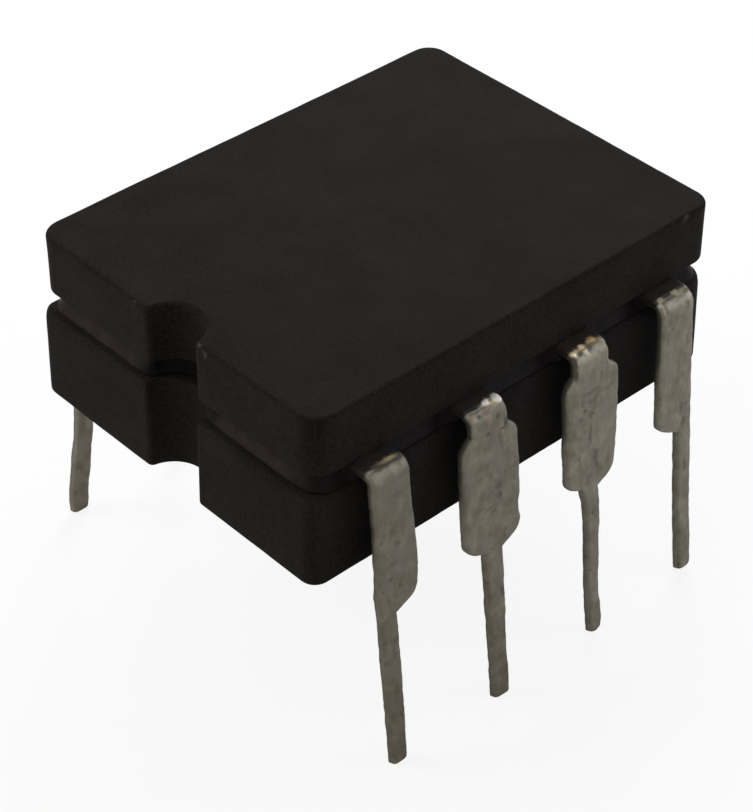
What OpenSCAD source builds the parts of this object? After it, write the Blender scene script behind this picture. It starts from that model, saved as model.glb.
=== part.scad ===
// Eight-lead dual in-line integrated circuit in a glass-sealed ceramic package.
// Two pressed ceramic halves are joined by a layer of solder glass, and the flat
// lead frame is held in that glass. The silicon die sits in a cavity in the base.
// The part stands on its lead tips: z = 0 is the plane of the tips, +Z is up, the
// index notch is at the -Y end and lead 1 is beside it on the +X side.

/* [Ceramic body] */

// Width of the ceramic base across the lead rows
body_w = 7.64; // [7.0:0.1:9.0]
// Length of the ceramic base along the lead rows
body_l = 9.90; // [9.4:0.1:11.4]
// Height of the ceramic base
base_h = 1.80; // [1.5:0.05:2.6]
// Height of the ceramic lid
lid_h = 1.23; // [1.0:0.05:2.0]
// How far the lid stands back from the base on the long sides
lid_back_side = 0.05; // [0.00:0.01:0.12]
// How far the lid stands back from the base at the two ends
lid_back_end = 0.12; // [0.02:0.01:0.20]
// Radius of the upright corners of base and lid
corner_r = 0.50; // [0.40:0.05:0.80]
// Radius of the half-round index notch in the base
notch_r = 0.74; // [0.40:0.02:0.90]
// Radius of the half-round index notch in the lid
lid_notch_r = 0.67; // [0.40:0.01:0.90]
// Worn edge left by the press on the lid's top and the base's underside
press_edge = 0.10; // [0.04:0.01:0.16]
// How much narrower each side of the base is at its top, so that it leaves the press
base_draft = 0.04; // [0.00:0.01:0.06]
// Height of the worn edge round the base's top
ledge_drop = 0.16; // [0.08:0.01:0.30]
// Width of the worn edge round the base's top
ledge_run = 0.06; // [0.03:0.01:0.08]

/* [Glass seal] */

// Height of the glass between base and lid
seal_h = 0.42; // [0.36:0.01:0.60]
// Glass under the lead frame
seal_under = 0.14; // [0.08:0.01:0.14]
// How far the glass lies back from the lid's edge
seal_back = 0.22; // [0.20:0.01:0.28]
// How far the glass spreads again where it wets the base
seal_foot = 0.12; // [0.04:0.01:0.12]
// Width of the glass that wets each side of a lead
wet_side = 0.07; // [0.04:0.01:0.12]
// Bare lead between the glass and the bend
wet_gap = 0.05; // [0.03:0.01:0.08]

/* [Die cavity] */

// Width of the cavity in the base
cavity_w = 2.60; // [2.2:0.1:3.0]
// Length of the cavity in the base
cavity_l = 4.00; // [3.0:0.1:4.4]
// Depth of the cavity in the base
cavity_d = 0.45; // [0.44:0.01:0.70]
// Room for the wire bonds round the cavity, in the lid's recess
bond_room = 0.50; // [0.40:0.02:0.60]
// Depth of the recess in the lid
recess_d = 0.35; // [0.30:0.01:0.55]
// Corner radius of cavity and recess
cavity_r = 0.25; // [0.10:0.05:0.40]
// Width of the silicon die
die_w = 1.60; // [1.2:0.1:2.0]
// Length of the silicon die
die_l = 2.10; // [1.6:0.1:2.8]
// Thickness of the silicon die
die_t = 0.38; // [0.25:0.01:0.38]
// Thickness of the layer that holds the die
attach_t = 0.05; // [0.03:0.01:0.06]
// How far the holding layer shows round the die
attach_rim = 0.12; // [0.05:0.01:0.20]

/* [Leads] */

// Distance from lead to lead along a row
lead_pitch = 2.54; // [2.50:0.01:2.56]
// Thickness of the lead frame
lead_t = 0.20; // [0.18:0.01:0.22]
// Width of a lead's narrow part, which enters the board
lead_w = 0.34; // [0.28:0.01:0.50]
// Length of the narrow part below the shoulders
lead_drop = 3.38; // [3.0:0.02:4.6]
// Width across the shoulders
shoulder_w = 1.33; // [1.14:0.01:1.50]
// Height over which the shoulder narrows to the lead
taper_h = 0.34; // [0.24:0.02:0.60]
// Radius of the shoulder's corners
shoulder_r = 0.20; // [0.08:0.01:0.22]
// Width of the neck of the inner leads at the bend
neck_w = 0.84; // [0.60:0.02:1.00]
// Height over which the inner leads narrow to their neck
neck_h = 0.32; // [0.16:0.02:0.40]
// Straight neck between the narrowing and the bend
neck_run = 0.05; // [0.02:0.01:0.10]
// Gap between the board and the underside of the body
standoff = 0.90; // [0.5:0.02:1.4]
// Straight run of the lead outside the body, before its bend
lead_out = 0.12; // [0.06:0.01:0.30]
// Inner radius of the bend
bend_r = 0.14; // [0.10:0.01:0.30]
// How far the leads lean outwards, in degrees
splay = 4.5; // [0:0.5:8]
// Corner taken off the lead tips
tip_cut = 0.05; // [0.02:0.01:0.08]
// Width of a finger at its bonded end
finger_w = 0.42; // [0.30:0.02:0.50]
// Gap between a finger's end and the cavity
finger_gap = 0.10; // [0.06:0.01:0.14]
// Where along the cavity's long side the inner leads' fingers end, from its middle
side_bond_y = 0.80; // [0.50:0.02:1.00]
// Where along the cavity's short side the end leads' fingers end, from its middle
end_bond_x = 0.73; // [0.50:0.01:0.90]

/* [Bond wires] */

// Diameter of a bond wire
wire_d = 0.05; // [0.03:0.005:0.06]
// Height of the wire's loop above the fingers
loop_h = 0.16; // [0.10:0.01:0.20]
// Length of a wedge bond's foot
foot_l = 0.14; // [0.10:0.01:0.20]
// Distance of the bond pads from the die's edge
pad_in = 0.16; // [0.12:0.01:0.24]
// Where the side pads are along the die's long edge, from its middle
side_pad_y = 0.42; // [0.20:0.02:0.60]
// Where the end pads are along the die's short edge, from its middle
end_pad_x = 0.44; // [0.20:0.02:0.50]

/* [Hidden] */

$fn = 64;

// heights of the stack, from the lead tips up
z_under = lead_drop + standoff;
z_ledge = z_under + base_h;
z_lead = z_ledge + seal_under;
z_bond = z_lead + lead_t;
z_lid = z_ledge + seal_h;
z_floor = z_ledge - cavity_d;
z_die = z_floor + attach_t;
z_pad = z_die + die_t;

// plan sizes that follow from the base
lid_w = body_w - 2 * lid_back_side;
lid_l = body_l - 2 * lid_back_end;
recess_w = cavity_w + 2 * bond_room;
recess_l = cavity_l + 2 * bond_room;

// the two lead positions of one row's half, from the middle
row_y = [lead_pitch / 2, 3 * lead_pitch / 2];

// the axis about which a lead is bent, outside the body
bend_x = body_w / 2 + lead_out;
bend_z = z_lead - bend_r;
bend_out = bend_r + lead_t;

// where the bonded ends of the fingers are: along the cavity's side, and past its end
side_bond = [cavity_w / 2 + finger_gap, side_bond_y];
end_bond = [end_bond_x, cavity_l / 2 + finger_gap];

// where the wires are bonded, on the die and on the fingers
side_pad = [die_w / 2 - pad_in, side_pad_y];
end_pad = [end_pad_x, die_l / 2 - pad_in];
side_land = [side_bond[0] + bond_room / 2 - finger_gap / 2, side_bond[1]];
end_land = [end_bond[0], end_bond[1] + bond_room / 2 - finger_gap / 2];

// colours of the materials
ceramic_colour = [0.13, 0.125, 0.12];
lid_colour = [0.15, 0.14, 0.135];
glass_colour = [0.20, 0.17, 0.16];
tin_colour = [0.44, 0.43, 0.39];
silicon_colour = [0.35, 0.37, 0.42];
attach_colour = [0.72, 0.66, 0.45];
wire_colour = [0.80, 0.80, 0.78];

// A pressed block: the plan is a rectangle with round corners, and every level of
// the edge profile is a pair [distance out from the plan, height], from the bottom up.
module pressed_block(w, l, r, edge) {
    top = len(edge) - 1;
    rotate([90, 0, 0])
        linear_extrude(l - 2 * r, center = true)
            polygon(both_sides(edge, w / 2));
    rotate([90, 0, 90])
        linear_extrude(w - 2 * r, center = true)
            polygon(both_sides(edge, l / 2));
    for (sx = [-1, 1], sy = [-1, 1])
        translate([sx * (w / 2 - r), sy * (l / 2 - r), 0])
            rotate_extrude()
                polygon(concat([[0, edge[0][1]]],
                               [for (e = edge) [r + e[0], e[1]]],
                               [[0, edge[top][1]]]));
}

// The closed outline of a section, from the edge profile on one side and its mirror image.
function both_sides(edge, half) =
    concat([for (e = edge) [half + e[0], e[1]]],
           [for (i = [len(edge) - 1 : -1 : 0]) [-half - edge[i][0], edge[i][1]]]);

// A flat rectangle with round corners.
module round_rect(w, l, r) {
    square([w, l - 2 * r], center = true);
    square([w - 2 * r, l], center = true);
    for (sx = [-1, 1], sy = [-1, 1])
        translate([sx * (w / 2 - r), sy * (l / 2 - r)])
            circle(r);
}

// The half-round index notch at the end of a block of length l.
module index_notch(l, r) {
    translate([0, -l / 2, 0])
        cylinder(h = z_lid + 2 * lid_h, r = r);
}

// Quarter-round edge of size e that turns in at the top or the bottom of a block.
function round_in(e, z, up) =
    [for (i = [0 : 4]) let (a = up ? i * 22.5 : 90 - i * 22.5)
        [e * (cos(a) - 1), up ? z - e + e * sin(a) : z + e - e * sin(a)]];

module ceramic_base() {
    color(ceramic_colour)
        difference() {
            pressed_block(body_w, body_l, corner_r,
                          concat(round_in(press_edge, z_under, false),
                                 [[-base_draft, z_ledge - ledge_drop],
                                  [-base_draft - 0.35 * ledge_run, z_ledge - 0.35 * ledge_drop],
                                  [-base_draft - ledge_run, z_ledge]]));
            translate([0, 0, z_floor])
                linear_extrude(2 * cavity_d)
                    round_rect(cavity_w, cavity_l, cavity_r);
            index_notch(body_l, notch_r);
        }
}

module ceramic_lid() {
    color(lid_colour)
        difference() {
            pressed_block(lid_w, lid_l, corner_r,
                          concat(round_in(press_edge / 2, z_lid, false),
                                 round_in(press_edge, z_lid + lid_h, true)));
            translate([0, 0, z_lid - recess_d])
                linear_extrude(2 * recess_d)
                    round_rect(recess_w, recess_l, cavity_r);
            index_notch(lid_l, lid_notch_r);
        }
}

// Glass that has crept out along a lead, from y = low to y = high: its section slopes
// from the lid's underside to the lead and from the lead back to the base.
module wetted_lead(low, high) {
    start = lid_w / 2 - seal_back - seal_foot;
    out = bend_x - wet_gap;
    translate([0, high + wet_side, 0])
        rotate([90, 0, 0])
            linear_extrude(high - low + 2 * wet_side)
                polygon([[start, z_ledge],
                         [body_w / 2 - base_draft - ledge_run, z_ledge],
                         [out, z_lead - 0.4 * seal_under],
                         [out, z_bond],
                         [out - 0.3 * wet_side, z_bond + 0.25 * (z_lid - z_bond)],
                         [lid_w / 2 - press_edge / 2, z_lid],
                         [start, z_lid]]);
}

// The glass fills the joint, lies back a little at its rim, follows the notch and closes
// round every lead. Below the leads it reaches in to the cavity, above them to the recess.
module glass_seal() {
    color(glass_colour)
        difference() {
            union() {
                pressed_block(lid_w, lid_l, corner_r,
                              [[seal_foot - seal_back, z_ledge],
                               [0.35 * seal_foot - seal_back, z_ledge + 0.12 * seal_h],
                               [-seal_back, z_ledge + 0.4 * seal_h],
                               [-seal_back, z_ledge + 0.85 * seal_h],
                               [0.2 * seal_foot - seal_back, z_lid]]);
                for (sx = [-1, 1], sy = [-1, 1])
                    scale([sx, sy, 1]) {
                        wetted_lead(row_y[0] - neck_w / 2, row_y[0] + neck_w / 2);
                        wetted_lead(row_y[1] - shoulder_w / 2, row_y[1] + lead_w / 2);
                    }
            }
            translate([0, 0, z_ledge - seal_h])
                linear_extrude(3 * seal_h)
                    round_rect(cavity_w, cavity_l, cavity_r);
            translate([0, 0, z_lead])
                linear_extrude(seal_h)
                    round_rect(recess_w, recess_l, cavity_r);
            index_notch(lid_l, notch_r + seal_foot / 2);
            for (sx = [-1, 1], sy = [-1, 1])
                scale([sx, sy, 1])
                    translate([0, 0, z_lead])
                        linear_extrude(lead_t) {
                            polygon(inner_outline(bend_x));
                            polygon(end_outline(bend_x));
                        }
        }
}

module silicon_die() {
    color(silicon_colour)
        translate([-die_w / 2, -die_l / 2, z_die])
            cube([die_w, die_l, die_t]);
}

module die_attach() {
    color(attach_colour)
        translate([0, 0, z_floor])
            linear_extrude(attach_t)
                round_rect(die_w + 2 * attach_rim, die_l + 2 * attach_rim, attach_rim);
}

// Edge of a lead from its tip up to the seat: [distance from its centre line, height].
function tip_edge() =
    [[lead_w / 2 - tip_cut, 0],
     [lead_w / 2, 1.5 * tip_cut],
     [lead_w / 2, lead_drop]];

// The round lower corner of a shoulder, between its taper and its straight edge.
function shoulder_corner() =
    [for (i = [0 : 4]) let (a = -45 + i * 11.25)
        [shoulder_w / 2 - shoulder_r + shoulder_r * cos(a),
         lead_drop + taper_h + shoulder_r * (0.3 + sin(a))]];

// Edge with no shoulder, as on the outer side of the four end leads.
function plain_edge() = concat(tip_edge(), [[lead_w / 2, z_lead]]);

// Edge with a shoulder that stays wide up to the bend.
function wide_edge() = concat(tip_edge(), shoulder_corner(), [[shoulder_w / 2, z_lead]]);

// Edge with a shoulder that narrows to a neck below the bend.
function necked_edge() =
    let (step = (shoulder_w - neck_w) / 2, z = bend_z - neck_run)
        concat(tip_edge(), shoulder_corner(),
               [[shoulder_w / 2, z - neck_h],
                [shoulder_w / 2 - 0.10 * step, z - 0.72 * neck_h],
                [shoulder_w / 2 - 0.32 * step, z - 0.50 * neck_h],
                [neck_w / 2 + 0.22 * step, z - 0.16 * neck_h],
                [neck_w / 2, z],
                [neck_w / 2, z_lead]]);

// The region under a bent sheet's face at distance r from the bend's axis, seen along
// the row: level behind the axis, round over it and leaning in front of it.
module under_sheet(r, spare) {
    far = 2 * bend_z + spare;
    circle(r);
    translate([-far, -far])
        square([far, far + r]);
    rotate(splay)
        translate([-far, -far])
            square([far + r, far]);
}

// A bent sheet as long as the package, before the leads are punched out of it.
module bent_sheet() {
    translate([bend_x, 0, bend_z])
        rotate([90, 0, 0])
            linear_extrude(2 * body_l, center = true)
                difference() {
                    under_sheet(bend_out, 0);
                    under_sheet(bend_r, lead_t);
                }
}

// Outline of an inner lead from above, from x = out to the cavity's long side.
function inner_outline(out) =
    let (y = row_y[0], root = recess_w / 2 + 3 * finger_w)
        [[out, y - neck_w / 2],
         [out, y + neck_w / 2],
         [root, y + neck_w / 2],
         [recess_w / 2 + finger_w, side_bond[1] + finger_w / 2],
         [side_bond[0], side_bond[1] + finger_w / 2],
         [side_bond[0], side_bond[1] - finger_w / 2],
         [recess_w / 2 + finger_w, side_bond[1] - finger_w / 2],
         [root, y - neck_w / 2]];

// Outline of an end lead from above, from x = out to the cavity's short side.
function end_outline(out) =
    let (y = row_y[1], root = recess_w / 2 + 3 * finger_w,
         bond_y = recess_l / 2 + 0.6 * finger_w)
        [[out, y - shoulder_w / 2],
         [out, y + lead_w / 2],
         [root, y + lead_w / 2],
         [end_bond[0] - finger_w / 2, bond_y + 0.6 * finger_w],
         [end_bond[0] - finger_w / 2, end_bond[1]],
         [end_bond[0] + finger_w / 2, end_bond[1]],
         [end_bond[0] + finger_w / 2, bond_y - 0.2 * finger_w],
         [root, y - shoulder_w / 2]];

// What two punched outlines leave of the bent sheet: one seen from above, for the finger
// and the bend, and one seen along X between two edges about y, for the leaning blade.
module punched_lead(outline, y, low_edge, high_edge) {
    color(tin_colour)
        intersection() {
            bent_sheet();
            union() {
                translate([0, 0, bend_z])
                    linear_extrude(2 * bend_out)
                        polygon(outline);
                translate([bend_x, y, 0])
                    rotate([90, 0, 90])
                        linear_extrude(bend_z)
                            polygon(concat(high_edge,
                                           [for (i = [len(low_edge) - 1 : -1 : 0])
                                               [-low_edge[i][0], low_edge[i][1]]]));
            }
        }
}

// One of the four leads nearest the middle of the package.
module inner_lead(sx, sy) {
    scale([sx, sy, 1])
        punched_lead(inner_outline(bend_x + 2 * bend_out), row_y[0],
                     necked_edge(), necked_edge());
}

// One of the four leads at the package's ends, with a shoulder on its inner side only.
module end_lead(sx, sy) {
    scale([sx, sy, 1])
        punched_lead(end_outline(bend_x + 2 * bend_out), row_y[1],
                     wide_edge(), plain_edge());
}

// A round rod from a to b with a ball at its far end.
module rod(a, b, d) {
    v = b - a;
    translate(a)
        rotate([0, acos(v[2] / norm(v)), atan2(v[1], v[0])])
            cylinder(h = norm(v), d = d, $fn = 24);
    translate(b)
        sphere(d = d, $fn = 24);
}

// Flattened end of a wire, lying on the surface at height p[2].
module wedge_foot(p, turn) {
    translate([p[0], p[1], p[2]])
        rotate([0, 0, turn])
            translate([-foot_l / 2, -0.8 * wire_d, 0])
                cube([foot_l, 1.6 * wire_d, 0.7 * wire_d]);
}

// A bond wire from a pad on the die, over a loop, to the end of a finger.
module bond_wire(sx, sy, pad, finger) {
    run = finger - pad;
    turn = atan2(run[1], run[0]);
    lift = 0.6 * wire_d;
    a = [pad[0], pad[1], z_pad + lift];
    b = [pad[0] + 0.25 * run[0], pad[1] + 0.25 * run[1], z_bond + loop_h];
    c = [pad[0] + 0.6 * run[0], pad[1] + 0.6 * run[1], z_bond + 0.7 * loop_h];
    d = [finger[0], finger[1], z_bond + lift];
    color(wire_colour)
        scale([sx, sy, 1]) {
            wedge_foot([pad[0], pad[1], z_pad], turn);
            rod(a, b, wire_d);
            rod(b, c, wire_d);
            rod(c, d, wire_d);
            wedge_foot([finger[0], finger[1], z_bond], turn);
        }
}

module inner_wire(sx, sy) {
    bond_wire(sx, sy, side_pad, side_land);
}

module end_wire(sx, sy) {
    bond_wire(sx, sy, end_pad, end_land);
}

ceramic_base();
ceramic_lid();
glass_seal();
silicon_die();
die_attach();
end_lead(1, -1);  // lead_1
inner_lead(1, -1);  // lead_2
inner_lead(1, 1);  // lead_3
end_lead(1, 1);  // lead_4
end_lead(-1, 1);  // lead_5
inner_lead(-1, 1);  // lead_6
inner_lead(-1, -1);  // lead_7
end_lead(-1, -1);  // lead_8
end_wire(1, -1);  // bond_wire_1
inner_wire(1, -1);  // bond_wire_2
inner_wire(1, 1);  // bond_wire_3
end_wire(1, 1);  // bond_wire_4
end_wire(-1, 1);  // bond_wire_5
inner_wire(-1, 1);  // bond_wire_6
inner_wire(-1, -1);  // bond_wire_7
end_wire(-1, -1);  // bond_wire_8
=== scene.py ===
"""Eight-lead dual in-line integrated circuit in a glass-sealed ceramic package.

The two pressed ceramic halves, the glass between them and the eight tinned leads are
surfaces worked out here; the sealed pieces inside keep the solids of the frame.
Lengths in the classes are millimetres, and one function turns them into metres.
"""

import logging
import math
from dataclasses import dataclass, field
from enum import Enum

import bmesh
import bpy
import numpy as np
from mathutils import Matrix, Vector

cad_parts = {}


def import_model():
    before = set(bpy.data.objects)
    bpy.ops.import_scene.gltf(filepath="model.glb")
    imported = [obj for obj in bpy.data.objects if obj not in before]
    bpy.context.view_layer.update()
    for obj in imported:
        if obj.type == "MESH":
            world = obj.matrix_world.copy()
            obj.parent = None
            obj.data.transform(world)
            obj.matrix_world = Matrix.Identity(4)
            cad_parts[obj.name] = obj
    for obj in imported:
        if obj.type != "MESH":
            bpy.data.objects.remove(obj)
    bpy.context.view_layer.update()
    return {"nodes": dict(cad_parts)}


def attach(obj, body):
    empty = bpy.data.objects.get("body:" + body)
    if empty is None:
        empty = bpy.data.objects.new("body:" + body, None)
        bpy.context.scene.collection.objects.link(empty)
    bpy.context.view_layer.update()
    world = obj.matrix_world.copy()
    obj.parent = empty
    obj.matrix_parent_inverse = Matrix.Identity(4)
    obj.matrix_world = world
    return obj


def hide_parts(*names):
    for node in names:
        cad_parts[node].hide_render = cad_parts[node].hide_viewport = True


MM = 0.001
LOG = logging.getLogger("package")

# Pairs of numbers: values at rising places, as eased() reads them, and a level row of them
Steps = tuple[tuple[float, float], ...]
LEVEL: Steps = ((0.0, 0.0), (6.0, 0.0))

# Points along each end, each long side and each arc of a ceramic outline
END_POINTS = 170
SIDE_POINTS = 130
ARC_POINTS = 24
# Unevenness of a pressed half, of the glass and of the tin: sizes and heights of its waves
PRESSED: Steps = ((2.4, 0.006), (0.6, 0.003), (0.18, 0.002))
FLOWED: Steps = ((0.7, 0.022), (0.22, 0.016), (0.09, 0.006))
DIPPED: Steps = ((0.5, 0.006), (0.16, 0.004), (0.07, 0.002))
# Corner radius of the sealed space in plan
SPACE_CORNER = 0.25
# Heights at which the spacing of a blade's rows changes, and the rows down to each
BLADE_ROWS = ((5.6, 22), (4.0, 50), (3.3, 36), (0.12, 86), (0.0, 7))


# Arithmetic on whole arrays


def linear(hex_colour: str) -> tuple[float, float, float, float]:
    """Turn an sRGB hex colour into the linear values that shaders use.

    Args:
        hex_colour: Six hex digits, such as "2a2623".

    Returns:
        Red, green, blue and an alpha of 1.
    """
    parts = [int(hex_colour[i : i + 2], 16) / 255 for i in (0, 2, 4)]
    red, green, blue = (
        c / 12.92 if c <= 0.04045 else ((c + 0.055) / 1.055) ** 2.4 for c in parts
    )
    return red, green, blue, 1.0


def smooth_step(x: np.ndarray) -> np.ndarray:
    """Rise from 0 to 1 as x does, level at both ends: 3x squared less 2x cubed."""
    x = np.clip(x, 0.0, 1.0)
    return x * x * (3 - 2 * x)


def lattice_noise(points: np.ndarray, cell: float, seed: int) -> np.ndarray:
    """Smooth noise from -1 to 1: random values at the corners of a cubic lattice, blended.

    Args:
        points: Positions, with x, y and z on the last axis.
        cell: Edge of a lattice cube, in the points' unit.
        seed: Picks the set of random values.

    Returns:
        One value a point.
    """
    place = points / cell + 1000.0
    corner = np.floor(place).astype(np.int64)
    weight = smooth_step(place - corner)
    total = np.zeros(points.shape[:-1])
    for dx, dy, dz in np.ndindex(2, 2, 2):
        i, j, k = (corner[..., a] + (dx, dy, dz)[a] for a in range(3))
        mixed = (i * 73856093) ^ (j * 19349663) ^ (k * 83492791) ^ (seed * 26544357)
        mixed = ((mixed ^ (mixed >> 13)) * 1274126177) & 0x7FFFFFFF
        value = mixed / 0x3FFFFFFF - 1
        share = np.ones(points.shape[:-1])
        for axis, step in enumerate((dx, dy, dz)):
            w = weight[..., axis]
            share = share * (w if step else 1 - w)
        total += share * value
    return total


def grid_faces(rows: int, columns: int, closed: bool) -> np.ndarray:
    """Four-cornered faces of a grid of points that are numbered row by row.

    Args:
        rows: Number of rows.
        columns: Number of points in a row.
        closed: Whether each row's last point joins its first.

    Returns:
        One line of four point numbers a face.
    """
    r = np.arange(rows - 1)[:, None]
    c = np.arange(columns if closed else columns - 1)[None, :]
    following = (c + 1) % columns
    corners = (r * columns + c, r * columns + following)
    above = ((r + 1) * columns + following, (r + 1) * columns + c)
    return np.stack([*corners, *above], axis=-1).reshape(-1, 4)


def resample(line: np.ndarray, weights: np.ndarray, count: int) -> np.ndarray:
    """Place points along a line, closer together where the weight is high.

    Args:
        line: The line's own points, two or three columns.
        weights: Density wanted at each of them.
        count: Number of points to place, the two ends included.

    Returns:
        The new points.
    """
    step = np.linalg.norm(np.diff(line, axis=0), axis=1)
    mass = step * (weights[1:] + weights[:-1]) / 2
    reached = np.concatenate([[0.0], np.cumsum(mass)])
    wanted = np.linspace(0, reached[-1], count)
    return np.stack([np.interp(wanted, reached, col) for col in line.T], axis=1)


def eased(x: np.ndarray | float, pairs: Steps) -> np.ndarray:
    """Values between given places and their values, with a level curve at each place.

    Args:
        x: Where the values are wanted.
        pairs: Places, in rising order, and the value at each.

    Returns:
        The values, constant beyond the first and the last place.
    """
    places, values = np.array(pairs, float).T
    low = np.clip(np.searchsorted(places, x) - 1, 0, len(places) - 2)
    share = smooth_step((x - places[low]) / (places[low + 1] - places[low]))
    return values[low] + share * (values[low + 1] - values[low])


def arc(centre: tuple[float, float], radius: float, start: float, end: float) -> np.ndarray:
    """Points of a circular arc, from the start angle to the end angle in degrees."""
    turn = np.radians(np.linspace(start, end, ARC_POINTS))
    return np.stack(
        [centre[0] + radius * np.cos(turn), centre[1] + radius * np.sin(turn)], axis=1
    )


# Meshes


def build_mesh(name: str, points: np.ndarray, faces: list[list[int]]) -> bpy.types.Object:
    """Make a smooth-shaded object from points in millimetres, with doubled points merged.

    Args:
        name: The piece's name.
        points: Positions, one a line, in millimetres.
        faces: Point numbers of each face, anticlockwise seen from outside.

    Returns:
        The new object, at the origin.
    """
    mesh = bpy.data.meshes.new(name)
    mesh.from_pydata((points * MM).tolist(), [], faces)
    work = bmesh.new()
    work.from_mesh(mesh)
    bmesh.ops.remove_doubles(work, verts=work.verts, dist=1e-7)
    bmesh.ops.dissolve_degenerate(work, dist=1e-8, edges=work.edges)
    bmesh.ops.recalc_face_normals(work, faces=work.faces)
    work.to_mesh(mesh)
    work.free()
    mesh.shade_smooth()
    made = bpy.data.objects.new(name, mesh)
    bpy.context.scene.collection.objects.link(made)
    return made


def read_points(mesh: bpy.types.Mesh, what: str) -> np.ndarray:
    """Read the positions or the normals of a mesh's points.

    Args:
        mesh: The mesh.
        what: "co" for positions in metres, or "normal".

    Returns:
        One line of x, y and z a point.
    """
    values = np.zeros(len(mesh.vertices) * 3, np.float32)
    mesh.vertices.foreach_get(what, values)
    return values.reshape(-1, 3).astype(float)


def set_values(mesh: bpy.types.Mesh, name: str, values: np.ndarray) -> None:
    """Store a number or a colour for each point, for a material to read.

    Args:
        mesh: The mesh.
        name: The attribute's name.
        values: One number a point, or one line of red, green, blue and cover.
    """
    kind, item = ("FLOAT", "value") if values.ndim == 1 else ("FLOAT_COLOR", "color")
    layer = mesh.attributes.new(name, kind, "POINT")
    layer.data.foreach_set(item, values.astype(np.float32).ravel())


def raised(ring: np.ndarray, z: float) -> np.ndarray:
    """Give the points of a flat ring a height."""
    return np.column_stack([ring, np.full(len(ring), z)])


@dataclass(frozen=True)
class Dent:
    """A small place where the surface is knocked in, or stands out if the depth is negative."""

    at: tuple[float, float, float]
    radius: float
    depth: float


@dataclass(frozen=True)
class Relief:
    """Unevenness of a made surface: noise of several sizes along the normals, and dents."""

    layers: Steps
    dents: tuple[Dent, ...] = ()
    seed: int = 1

    def apply(self, piece: bpy.types.Object, share: np.ndarray | None = None) -> None:
        """Move each point along its normal by the noise, less each dent's bell curve.

        Args:
            piece: The object to work on.
            share: How much of the noise each point takes, or None for all of it.
        """
        mesh = piece.data
        points = read_points(mesh, "co") / MM
        normals = read_points(mesh, "normal")
        push = np.zeros(len(points))
        for number, (cell, height) in enumerate(self.layers):
            push += height * lattice_noise(points, cell, self.seed * 17 + number)
        if share is not None:
            push *= share
        for dent in self.dents:
            away = np.linalg.norm(points - np.array(dent.at), axis=1)
            ragged = 1 + 0.6 * lattice_noise(points, dent.radius / 2, self.seed + 90)
            push -= dent.depth * np.exp(-((away / dent.radius) ** 2)) * ragged
        moved = (points + normals * push[:, None]) * MM
        mesh.vertices.foreach_set("co", moved.astype(np.float32).ravel())
        mesh.update()


# Materials


def add_node(
    tree: bpy.types.NodeTree, kind: str, settings: dict | None = None, links: dict | None = None
) -> bpy.types.Node:
    """Add a node to a material or world.

    Args:
        tree: The node tree.
        kind: The node's type after "ShaderNode", such as "TexNoise".
        settings: Values of its inputs, by name or number, and of its other properties.
        links: Output sockets to join to its inputs, by the input's name or number.

    Returns:
        The node.
    """
    made = tree.nodes.new("ShaderNode" + kind)
    for name, value in (settings or {}).items():
        if isinstance(name, str) and hasattr(made, name):
            setattr(made, name, value)
        else:
            made.inputs[name].default_value = value
    for name, socket in (links or {}).items():
        tree.links.new(socket, made.inputs[name])
    return made


@dataclass(frozen=True)
class Grain:
    """One noise of a finish: its features' width in millimetres, and how broken up it is."""

    wide: float
    detail: float = 2.0
    roughness: float = 0.5

    def settings(self) -> dict[str, float]:
        """The noise's settings, on coordinates in metres."""
        return {"Scale": 1 / (self.wide * MM), "Detail": self.detail, "Roughness": self.roughness}


@dataclass(frozen=True)
class Finish:
    """What every finish shares: its name, its start and the way its parts are joined."""

    name: str

    def start(self) -> tuple[bpy.types.Material, bpy.types.NodeTree, bpy.types.NodeSocket]:
        """Make the material.

        Returns:
            The material, its node tree and the place on the piece.
        """
        made = bpy.data.materials.new(self.name)
        made.use_nodes = True
        tree = made.node_tree
        return made, tree, add_node(tree, "TexCoord").outputs["Object"]

    def lay(
        self, tree: bpy.types.NodeTree, last: bpy.types.NodeSocket,
        layers: tuple[tuple[bpy.types.NodeSocket, str], ...],
    ) -> bpy.types.NodeSocket:
        """Lay colours over a colour, each as far as its mask says.

        Args:
            tree: The material's node tree.
            last: The colour below.
            layers: Each mask and its sRGB colour, from the lowest up.

        Returns:
            The colour of them all.
        """
        for mask, colour in layers:
            last = add_node(
                tree, "Mix", {"data_type": "RGBA", 7: linear(colour)}, {0: mask, 6: last}
            ).outputs[2]
        return last

    def join(
        self, tree: bpy.types.NodeTree, sockets: dict,
        bump: tuple[bpy.types.NodeSocket, float, float], values: dict | None = None,
    ) -> None:
        """Join the parts to the shader.

        Args:
            tree: The material's node tree.
            sockets: Sockets, by the name of the shader's input.
            bump: The height that lifts the surface, its strength and its millimetres.
            values: Uniform values, by the name of the shader's input.
        """
        shader = tree.nodes["Principled BSDF"]
        height, strength, depth = bump
        lift = add_node(
            tree, "Bump", {"Strength": strength, "Distance": depth * MM}, {"Height": height}
        )
        for name, socket in {**sockets, "Normal": lift.outputs[0]}.items():
            tree.links.new(socket, shader.inputs[name])
        for name, value in (values or {}).items():
            shader.inputs[name].default_value = value


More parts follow.
